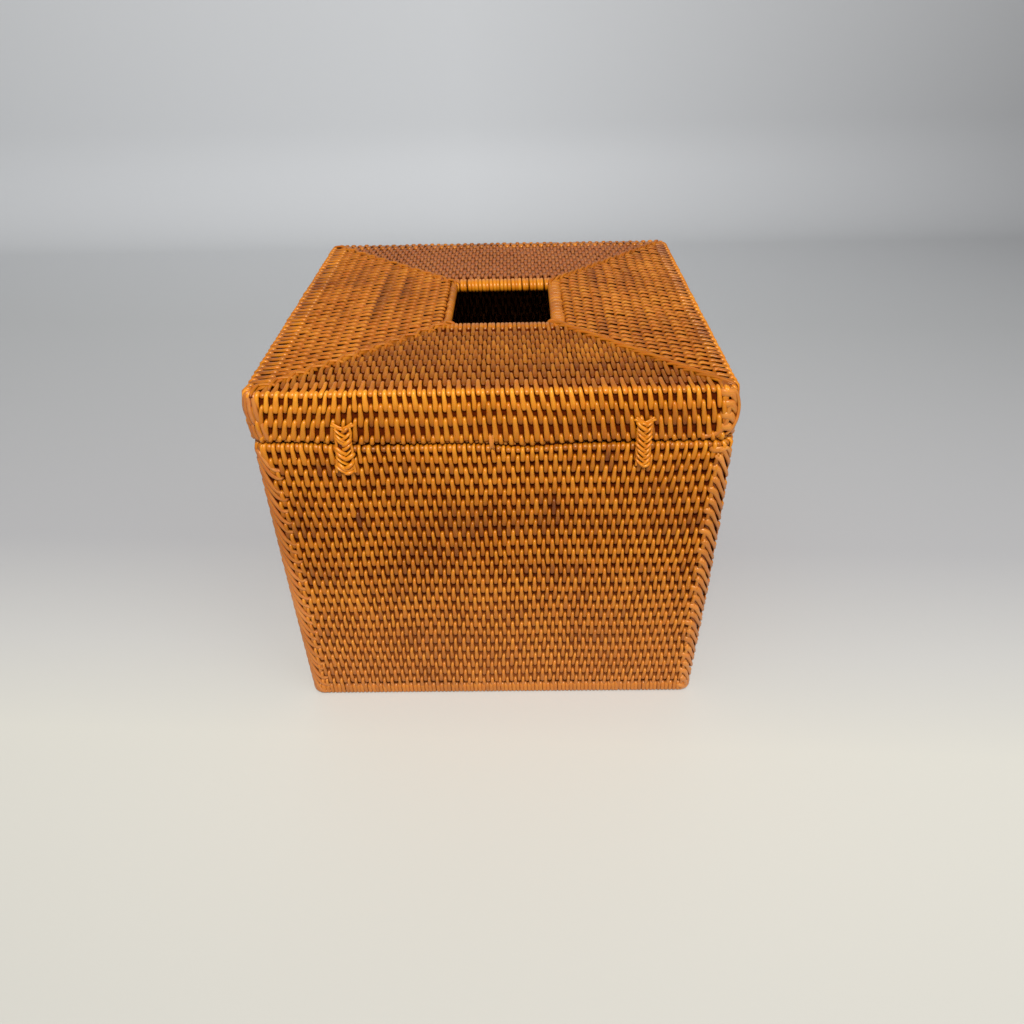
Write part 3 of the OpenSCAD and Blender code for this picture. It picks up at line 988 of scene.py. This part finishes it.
# Tones of the wraps round the slot, and of the strands over the edge, on the top and past it.
# Past the turn of the edge the strands are paler, a painted highlight where the round edge catches light.
RIM_TONES = {HINGE: -1.6, RIGHT: -1.2, FAR: 0.5, LEFT: -1.8}
EDGE_TONES_AND_HIGHLIGHT = {HINGE: (-2.2, 1.6), RIGHT: (-1.6, -0.4), FAR: (-2.6, -2.4), LEFT: (-1.8, -1.4)}
SKIRT_TONE = 0.5
# Each side of the top has its own tint: partly the strands' own tone, partly a painted sheen, as light
# falls otherwise on strands that run another way
PANEL_COLOURS = {HINGE: BROWN, RIGHT: ORANGE, FAR: RED, LEFT: TAWNY}

# Darker courses of the side panels: distance in from the lid's edge, reach, strength
BANDS = {
    LEFT: ((33.0, 2.6, 3.0), (21.0, 1.6, 1.0), (41.5, 2.0, 2.2)),
    RIGHT: ((36.0, 2.6, 2.6), (24.5, 1.8, 1.5), (16.0, 1.6, 1.2), (5.0, 3.0, 1.4)),
    HINGE: (),
    FAR: (),
}


def lid_ends(side, spare=0.0):
    """Limits of a side of the lid: the mitres on its top and underside, half of each corner else."""
    near, far, _ = slot_edges(side)
    outer = along_half(LID_HALF, side)
    depth = slot_distance(side)
    corner_half = outer - CORNER + TURN / 2

    def ends(tau):
        out = LIDS[side].at(tau)[0]
        share = np.clip(-out / depth, 0, 1)
        edge = -out < CORNER
        lo = np.where(edge, -corner_half, -outer + (near + outer) * share + spare)
        hi = np.where(edge, corner_half, outer + (far - outer) * share - spare)
        return lo, hi

    return ends


def lid_tone(side, rows, rng):
    by_course = course_tones(rng, rows, size=0.35)
    blotch = waves(rng, 0.5, 60)

    def tone(s, t, row):
        total = by_course(s, t, row) + blotch(s, t)
        inset = -LIDS[side].at(t)[0]
        for at, reach, strength in BANDS[side]:
            wander = 1.2 * np.sin(s / 17 + at)
            uneven = 0.75 + 0.25 * np.sin(s / 9 + at)
            total = total - strength * np.exp(-(((inset - at + wander) / reach) ** 4)) * uneven
        if side == HINGE:
            near = ((s + 16) / 26) ** 2 + ((inset - 50) / 8) ** 2
            total = total - 1.3 * np.exp(-near)
        if side == RIGHT:
            total = total - 1.2 * np.clip(s / 60, 0, 1)
        return total

    return tone


def lid_rows(side):
    """Places of the rows of holes in the top of one side, from the slot to the edge."""
    count, from_edge, from_slot = LID_ROWS[side]
    gaps = np.ones(count - 1)
    if side == HINGE:
        gaps[-WIDE_ROWS:] = WIDE_SHARE
    steps = np.concatenate([[0.0], np.cumsum(gaps)]) / gaps.sum()
    marks = LIDS[side].marks
    first = marks[1] + from_slot - WALL / 2
    last = marks[2] + EDGE_ROUND - from_edge
    return first + (last - first) * steps


def lid_lean(side):
    """How the rows drift: hardly on the top, and on the hinge side's skirt to either side."""

    def lean(s, t):
        drift = 0.05 + 0 * s
        if side == HINGE and t > LIDS[side].marks[3]:
            left = 1 / (1 + np.exp((s + 42) / 5))
            right = 1 / (1 + np.exp(-(s - 4) / 5))
            drift = drift + (0.6 * right - 1.2 * left)
        return drift

    return lean


def rim_wraps(side, rng):
    """Close wraps over the slot's rim, from its row of holes to its underside."""
    top = lid_rows(side)[0]
    near, far, _ = slot_edges(side)
    ends = lid_ends(side, 0.1)
    over, inside = (-0.7, -0.5) if side == FAR else (0.0, 0.1)
    places = np.arange(near - WALL + 0.4, far + WALL, RIM_PITCH)
    knots = []
    for s in places + rng.normal(0, 0.05, len(places)):
        start = top + rng.uniform(-0.2, 0.5)
        shift = rng.normal(0.1, 0.06)
        path = [(start + 0.6, 1.2), (start - 0.2, 0.15), (4.4, -0.05)]
        path += [(1.6, over), (-1.0, inside), (-2.6, 0.8)]
        wrap = []
        for n, (tau, depth) in enumerate(path):
            lo, hi = ends(np.array(tau))
            wrap.append((min(max(s - shift * n, lo), hi), tau, depth, RIM_PITCH * 1.04))
        knots.append(wrap)
    return laid_strands(LIDS[side], LID_HALF, side, knots, 17, rng, thick=0.8, tone=RIM_TONES[side])


def lid_side(side, rng):
    """Strands of one side of the lid: slot rim, top, over the edge, and skirt."""
    profile = LIDS[side]
    top = lid_rows(side)
    skirt_rows = profile.marks[3] + (SKIRT_ROWS - EDGE_ROUND)
    bottom = profile.marks[5] + (WALL - 2 * SEAM_ROUND) / 2
    rows = np.concatenate([[-3.8, 0.4], top, skirt_rows, [bottom, bottom + 5]])
    weave = Weave(
        profile, LID_HALF, side, rows, LID_PITCHES[side], rng, lean=lid_lean(side), sway=LID_SWAYS[side],
    )
    tone = lid_tone(side, len(rows), rng)
    last_top = 1 + len(top)
    a = straight(LID_HALF, side)
    mitred = lid_ends(side, 0.3)

    def edge_ends(tau):
        lo, hi = mitred(tau)
        flat = -profile.at(tau)[0] > CORNER
        return np.where(flat, lo, -a - TURN), np.where(flat, hi, np.minimum(hi, a + 0.2))

    def edge_tone_and_highlight(t):
        # Paler past the turn: a painted highlight on the round edge
        on_top, past = EDGE_TONES_AND_HIGHLIGHT[side]
        return on_top + (past - on_top) / (1 + np.exp(-(t - profile.marks[2] - 0.2) / 0.5))

    def skirt_glow(t):
        return SKIRT_TONE + 0 * t

    panel = weave.stitches(2, last_top - 2, mitred, tone=tone, wide=TOP_WIDTHS[side])
    edge = weave.stitches(
        last_top - 1, last_top, edge_ends, tone=tone, wide=EDGE_WIDTHS[side], glow=edge_tone_and_highlight,
    )
    skirt = weave.stitches(
        last_top + 1, len(rows) - 3, between(-a - 1.0, a + 1.3),
        tone=tone, wide=SKIRT_WIDTH, glow=skirt_glow,
    )
    return rim_wraps(side, rng), panel, edge, skirt


# The lid's left corner has uprights, each a long strand over a short one. Their tables are like
# BODY_WRAP, and the fall is the place where the two meet.
UPRIGHT_SHARES = (-0.10, 0.16, 0.42, 0.68, 0.94)
LONG_UPRIGHT = (
    (0, 0, -2.4, 0, 1.0, 1.1),
    (0, 0, -0.8, 0, 0.1, 1.7),
    (0, 0, 2.5, 0, -0.2, 1.7),
    (0, 0, 0, 0.6, -0.5, 1.75),
    (0, 0.1, -0.6, 1, 0.1, 1.65),
    (0, 0.1, 0.5, 1, 1.2, 1.1),
)
SHORT_UPRIGHT = (
    (0, 0.9, -0.2, 1, 1.2, 1.1),
    (0, 0.9, 0.5, 1, 0.1, 1.6),
    (0, 1.1, 2.8, 1, -0.1, 1.7),
    (0, 1.5, 15.6, 0, 0.0, 1.7),
    (0, 1.7, 17.2, 0, 0.3, 1.6),
    (0, 1.7, 18.0, 0, 1.0, 1.2),
)
# Its other corners have wraps, by their start below the top and how far they reach before the turn
LID_WRAPS = ((1.4, 1.2), (5.2, 0.0), (9.1, -0.1), (12.7, -0.4))
LID_WRAP = (
    (0, -0.4, 0.7, 0, 1.2, 2.6),
    (0, 0.5, 0.7, 0, -0.1, 2.75),
    (0, 2.4, 0.75, 0, -0.35, 2.85),
    (0.45, 0, 0.8, 0.12, -0.3, 2.6),
    (0.72, 0, 0.8, 0.42, -0.1, 2.4),
    (1, 0, 0.8, 0.85, 0.2, 2.0),
    (1, 0.8, 0.8, 1.0, 1.3, 1.3),
)
WRAP_LOW = 17.2  # no wrap goes below this
# Over the wraps lie a thin upright and a strand that turns along the seam: mm past the start of the
# turn, mm below the top, depth and width
LID_THIN = (
    (1.6, -0.8, 0.9, 1.0),
    (3.6, 2.2, -0.6, 1.25),
    (4.6, 6.0, -0.9, 1.3),
    (4.7, 9.5, -0.9, 1.3),
    (4.2, 12.5, -0.8, 1.3),
    (3.2, 15.0, -0.2, 1.2),
    (2.4, 16.8, 1.1, 1.0),
)
LID_TURNED = (
    (1.7, 5.2, 1.0, 1.4),
    (1.9, 7.0, -0.1, 1.7),
    (1.9, 11.0, -0.1, 1.8),
    (1.0, 13.9, 0.0, 1.7),
    (-1.8, 15.9, 0.1, 1.7),
    (-5.0, 16.6, 0.2, 1.6),
    (-6.6, 16.8, 1.1, 1.2),
)


def lid_corner(side, rng):
    """Strands round the lid's corner at a side's right end: uprights, or wraps and two over them."""
    profile = LIDS[side]
    a = straight(LID_HALF, side)

    def laid(strands, rings, **form):
        knots = [[(s, profile.marks[3] + t - EDGE_ROUND, d, w) for s, t, d, w in one] for one in strands]
        return laid_strands(profile, LID_HALF, side, knots, rings, rng, **form)

    if side == LEFT:
        uprights = []
        for share in UPRIGHT_SHARES:
            meet = 10.6 + rng.normal(0, 0.5)
            for table in (LONG_UPRIGHT, SHORT_UPRIGHT):
                uprights.append(round_corner(table, a + share * TURN, 0.0, meet))
        return [laid(uprights, 17, thick=1.3, tone=0.3)]
    wraps = []
    for start, reach in LID_WRAPS:
        fall = min(9.5, 16.6 - start)
        wrap = round_corner(LID_WRAP, a, start, fall, near=-reach, limits=(0, WRAP_LOW))
        wraps.append([(s + rng.normal(0, 0.1), t, d, w) for s, t, d, w in wrap])
    over = [[(a + s, t, d, w) for s, t, d, w in strand] for strand in (LID_THIN, LID_TURNED)]
    return [laid(wraps, 19, thick=1.2, roll=0.04), laid(over, 25, thick=1.0)]


# Strands over each mitre: spacing, length, how far they sway to each side, width, and whether
# every second one crosses the others
MITRES = {
    HINGE: (4.6, 13.0, 1.1, 1.35, False),
    RIGHT: (3.6, 8.0, 1.2, 1.3, False),
    FAR: (3.6, 8.0, 1.2, 1.3, True),
    LEFT: (3.1, 7.0, 1.7, 1.2, True),
}
# Knots of one: share of its length, share of the sway, depth
MITRE_PATH = ((0, -1.5, 1.1), (0.12, -1.1, 0.1), (0.5, 0.0, -0.45), (0.85, 0.9, 0.0), (1, 1.3, 1.1))


def mitre_strands(side, rng):
    """Thin strands laid along the diagonal between a side and the next, from edge to slot."""
    c, d = side_turn(side)
    turn = np.array([[c, -d], [d, c]])
    _, far, edge = slot_edges(side)
    start = np.array([along_half(LID_HALF, side), -across_half(LID_HALF, side)])
    start = start + (CORNER * 0.35) * np.array([-1, 1])
    end = np.array([far, edge])
    length = np.linalg.norm(end - start)
    run = (end - start) / length
    across = np.array([-run[1], run[0]])
    step, reach, sway, width, crossing = MITRES[side]
    knots, depths = [], []
    for n, at in enumerate(np.arange(0.4, length - 1.0, step)):
        at = at + rng.normal(0, 0.3)
        stop = min(at + reach * rng.uniform(0.85, 1.1), length + 0.5)
        cross = -1 if crossing and n % 2 else 1
        strand = []
        for share, aside, sunk in MITRE_PATH:
            p = turn @ (start + run * (at + (stop - at) * share) + across * aside * sway * cross)
            strand.append((p[0], p[1], TOP - sunk - 0.2, width))
        knots.append(strand)
        # The same depths give painted shade, darker at the sunk ends
        depths.append([sunk for _, _, sunk in MITRE_PATH])
    return flat_strands(knots, 13, rng, thick=1.0, depth=depths)


def lid_lining(side, rng):
    profile = LIDS[side]
    rows = np.arange(profile.marks[6] - 2.2, profile.length + 4, 4.2)
    weave = Weave(profile, LID_HALF, side, rows, NORMAL_PITCH, rng)
    return weave.stitches(0, len(rows) - 3, lid_ends(side), plain=True)


def lid_core():
    """A slab inside the lid's weave, in four sides that meet in the mitres and the corners."""
    shares = np.array([0.0, 0.03, 0.06, 0.94, 0.97, 1.0])
    verts, faces = [], []
    for side, profile in enumerate(LIDS):
        tau = np.concatenate([np.linspace(p, q, 5)[:-1] for p, q in zip(profile.marks, profile.marks[1:])])
        lo, hi = lid_ends(side)(tau)
        a = straight(LID_HALF, side)
        bent = -profile.at(tau)[0] + profile.at(tau)[2] * LID_CORE < CORNER
        at_corners = (-a - TURN / 2, -a - TURN / 4, -a, a, a + TURN / 4, a + TURN / 2)
        faces.append(len(verts) * len(tau) + faces_between(len(shares), len(tau), closed=False))
        for share, corner_s in zip(shares, at_corners):
            s = np.where(bent, corner_s, lo + (hi - lo) * share)
            verts.append(on_wall(profile, LID_HALF, side, s, tau, LID_CORE)[0])
    return build_mesh("lid_rods", np.concatenate(verts) * MM, np.concatenate(faces), smooth=False)


def make_lid():
    add_piece("lid_rods", lid_core(), *LID, RODS)
    rims, edges = [], []
    for side, name in enumerate(SIDE_NAMES):
        rng = np.random.default_rng(LID_SEED + side)
        rim, panel, edge, skirt = lid_side(side, rng)
        rims.append(rim)
        edges.append(edge)
        part = "lid_" + name
        corner = "lid_" + CORNER_NAMES[side]
        add_weave(part + "_panel_weave", [panel], *LID, PANEL_COLOURS[side], [part + "_panel"])
        add_weave(part + "_skirt_weave", [skirt], *LID, AMBER, [part + "_skirt"])
        add_weave(part + "_lining", [lid_lining(side, rng)], *LID, LINING)
        strands = lid_corner(side, rng)
        add_weave(corner + "_corner_weave", strands, *LID, CORNER_COLOURS[side], [corner + "_corner"])
        add_weave(corner + "_mitre", [mitre_strands(side, rng)], *LID, ORANGE)
    add_weave("slot_rim_weave", rims, *LID, GOLD, ["slot_rim"])
    # The strands over the edge are in the paler gold rattan, partly as a painted highlight on the round
    # edge
    add_weave("lid_edge_weave", edges, *LID, GOLD, ["lid_edge"])


# Hinge straps

FACE = BODY_HALF[1]
# Middle of each strap, its ends below the seam, its width and the share by which its lower end is
# wider, pitch and width of its strands, how far it leans to the right a mm down, the angle of its
# strands from its length, how uneven it is, and its seed
STRAPS = {
    "left_strap": (-46.9, -5.6, 10.8, 4.9, 0.22, 2.05, 1.35, -0.077, 52, 1.0, 301),
    "right_strap": (48.7, -6.2, 9.5, 4.3, -0.06, 1.9, 1.15, 0.02, 48, 0.5, 302),
}
# Knots of a plaited strand: share of its way to the middle, and how far it stands out
PLAIT_PATH = ((0.0, 0.1), (0.14, 0.95), (0.5, 1.5), (0.86, 1.05), (1.0, 0.2))
# Knots of a loose end at a strap's top: mm in from its edge and by how much more for the second
# end, mm out from the wall, and width
FLARE_PATH = ((1.8, 0.5, 0.9, 1.2), (0.6, 0.3, 0.8, 1.1), (-1.3, 0.5, 0.5, 0.9))


def strap(name, x, top, bottom, width, spread, pitch, strand, lean, angle, rough, seed):
    """A flat plait over the seam: strands from each edge run down to the middle, turn about.

    They meet a little right of the strap's middle."""
    rng = np.random.default_rng(seed)
    half = width / 2
    outward = (0, -1, 0)
    groups = []

    def widen(down):
        return 1 + spread * min(max(down / bottom, 0), 1)

    for sign in (-1, 1):
        knots, depths = [], []
        run = half + 0.7 - 0.4 * sign
        rise = run / math.tan(math.radians(angle))
        for v in np.arange(top - rise * 0.6, bottom - rise * 0.4, pitch):
            v = v + (0 if sign < 0 else pitch / 2) + rng.normal(0, 0.3 * rough)
            plump = strand * (1 + rng.normal(0, 0.25 * rough))
            out = rng.normal(0, 0.35 * rough)
            high = rng.normal(0, 0.25 * rough)
            strand_knots = []
            for share, lift in PLAIT_PATH:
                across = sign * (half + out * (1 - share) - share * run)
                down = v + share * rise
                down = min(max(down, top), bottom - 0.25 * abs(across))
                proud = lift + high * (0.1 < share < 0.9)
                at = x + across * widen(down) + lean * down
                strand_knots.append((at, -FACE - proud, SEAM - down, plump))
            knots.append(strand_knots)
            # Painted shade: darker where the strand dips to the wall
            depths.append([0.5 - 0.45 * lift for _, lift in PLAIT_PATH])
        groups.append(flat_strands(knots, 11, rng, outward, 1.2, 0.15 * sign, depths))
        cord = []
        for v in np.linspace(top - 0.3, bottom + 0.2, 9):
            edge = half * widen(v) * (1 - 0.06 * math.cos(v)) - 0.1 + rng.normal(0, 0.12 * rough)
            cord.append((x + sign * edge + lean * v, -FACE - 0.55, SEAM - v, 1.0))
        groups.append(flat_strands([cord], 33, rng, (sign * 0.6, -0.8, 0), 0.9))
        flares = []
        for n in range(2):
            heights = (-top - 0.1, 0.5 - top, 0.9 + 0.8 * n - top)
            flares.append([
                (x + sign * (half - inset - more * n) + lean * top, -FACE - proud, SEAM + height, wide)
                for (inset, more, proud, wide), height in zip(FLARE_PATH, heights)
            ])
        groups.append(flat_strands(flares, 7, rng, outward, 0.6))
    # A strand behind the plait, painted wholly dark as the shade that shows through its gaps
    places = np.linspace(top + 0.4, bottom - 0.6, 5)
    back = [(x + lean * v, -FACE - 0.35, SEAM - v, width * 0.86) for v in places]
    groups.append(flat_strands([back], 17, rng, outward, 0.7, depth=[[2.0] * len(places)]))
    nodes = [name + "_body_half", name + "_lid_half"]
    piece = add_weave(name, groups, None, "rattan_plait", GOLD, nodes)
    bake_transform(piece)


def make_tuft():
    """A few loose fibres at the seam, near the middle of the hinge side."""
    rng = np.random.default_rng(320)
    face = -LID_HALF[1]
    knots = []
    for n in range(6):
        x = -0.5 + n * 0.22 + rng.normal(0, 0.10)
        knots.append([
            (x, face + 0.3, SEAM + 1.6 + rng.normal(0, 0.3), 0.3),
            (x + 0.1, face - 0.35, SEAM + 0.4, 0.45),
            (x + rng.normal(0.2, 0.15), face - 0.5, SEAM - 1.2, 0.42),
            (x + rng.normal(0.3, 0.3), face - 0.2, SEAM - rng.uniform(2.6, 3.4), 0.25),
        ])
    add_weave("seam_fibres", [flat_strands(knots, 7, rng, (0, -1, 0), 0.25)], *LID, PALE)


make_body()
make_base()
make_lid()
for strap_name, sizes in STRAPS.items():
    strap(strap_name, *sizes)
make_tuft()


# Camera, floor and light

# The photograph's viewing angle, from a fit to the box's outline
CAMERA_AT = (10.29, -287.67, 244.01)
CAMERA_ANGLES = (-1.08, 35.8, -1.32)  # to the right, down and clockwise, in degrees
CAMERA_LENS = 27.02

# Where the floor ends to the front and the sides, where its back rises and by what bend, in metres
FLOOR_REACH = 3.0
FLOOR_BACK = 0.62
FLOOR_BEND = 0.10
FLOOR_RISE = 1.6
BEND_STEPS = 12
# Floor colour from front to back: darker far in front, a painted pool of light just before the box, a
# painted shadow band beside it, and paler to the back and up the backdrop
FLOOR_TONES_AND_SHADE = [
    (0.0, (0.385, 0.375, 0.34)),
    (0.30, (0.425, 0.415, 0.375)),
    (0.41, (0.525, 0.51, 0.455)),
    (0.45, (0.48, 0.47, 0.445)),
    (0.51, (0.395, 0.39, 0.39)),
    (0.75, (0.44, 0.445, 0.445)),
    (1.0, (0.57, 0.58, 0.59)),
]


def add_camera():
    yaw, pitch, roll = (math.radians(angle) for angle in CAMERA_ANGLES)
    forward = Vector((math.sin(yaw) * math.cos(pitch), math.cos(yaw) * math.cos(pitch), -math.sin(pitch)))
    right = Vector((math.cos(yaw), -math.sin(yaw), 0))
    up = right.cross(forward)
    across = math.cos(roll) * right + math.sin(roll) * up
    upward = math.cos(roll) * up - math.sin(roll) * right
    data = bpy.data.cameras.new("camera")
    data.lens = CAMERA_LENS
    data.sensor_width = 36
    data.clip_start = 0.01
    data.clip_end = 50
    camera = add_object("camera", data)
    turn = Matrix((across, upward, -forward)).transposed().to_4x4()
    camera.matrix_world = Matrix.Translation(Vector(CAMERA_AT) * MM) @ turn
    bpy.context.scene.camera = camera


def add_floor():
    """A sheet that lies under the box and curves up behind it."""
    section = [(y, 0.0) for y in (-FLOOR_REACH, -0.6, -0.2, 0.2, FLOOR_BACK - FLOOR_BEND)]
    for i in range(1, BEND_STEPS + 1):
        angle = QUARTER * i / BEND_STEPS
        y = FLOOR_BACK - FLOOR_BEND + FLOOR_BEND * math.sin(angle)
        section.append((y, FLOOR_BEND * (1 - math.cos(angle))))
    section.append((FLOOR_BACK, FLOOR_RISE))
    verts = [(x, y, z - 0.0001) for x in (-FLOOR_REACH, FLOOR_REACH) for y, z in section]
    n = len(section)
    faces = [(i, n + i, n + i + 1, i + 1) for i in range(n - 1)]
    mesh = build_mesh("floor", verts, faces)
    look = Look("floor")
    x, y = look.axis("X"), look.axis("Y")
    depth = look.span(look.maths("MULTIPLY_ADD", x, 0.05, y), -0.6, FLOOR_BACK)
    # Painted shade: the backdrop darkens to the right
    far = look.span(y, -0.15, 0.60)
    right = look.span(x, -0.05, 0.55, 0.0, 0.62)
    shade = look.maths("MULTIPLY", far, right)
    colour = look.mix(shade, look.ramp(depth, FLOOR_TONES_AND_SHADE), (0.22, 0.22, 0.225))
    look.join(look.shader, {"Base Color": colour, "Roughness": 0.6, "Specular IOR Level": 0.2})
    mesh.materials.append(look.material)
    add_object("floor", mesh)


def add_light(name, at, size, power):
    data = bpy.data.lights.new(name, "AREA")
    data.shape = "SQUARE"
    data.size = size
    data.energy = power
    lamp = add_object(name, data)
    lamp.location = at
    aim = Vector((0, 0, 0.08)) - lamp.location
    lamp.rotation_euler = aim.to_track_quat("-Z", "Y").to_euler()


def add_world():
    world = bpy.data.worlds.new("world")
    bpy.context.scene.world = world
    world.use_nodes = True
    nodes = world.node_tree.nodes
    nodes.clear()
    back = nodes.new("ShaderNodeBackground")
    back.inputs["Color"].default_value = (0.92, 0.93, 0.95, 1)
    back.inputs["Strength"].default_value = 0.45
    out = nodes.new("ShaderNodeOutputWorld")
    world.node_tree.links.new(back.outputs[0], out.inputs[0])


add_camera()
add_floor()
add_world()
add_light("key", (0.02, -0.70, 0.95), size=0.28, power=15.6)
add_light("fill", (0.6, -0.5, 0.4), size=0.5, power=1.0)

bpy.context.scene.view_settings.view_transform = "Standard"
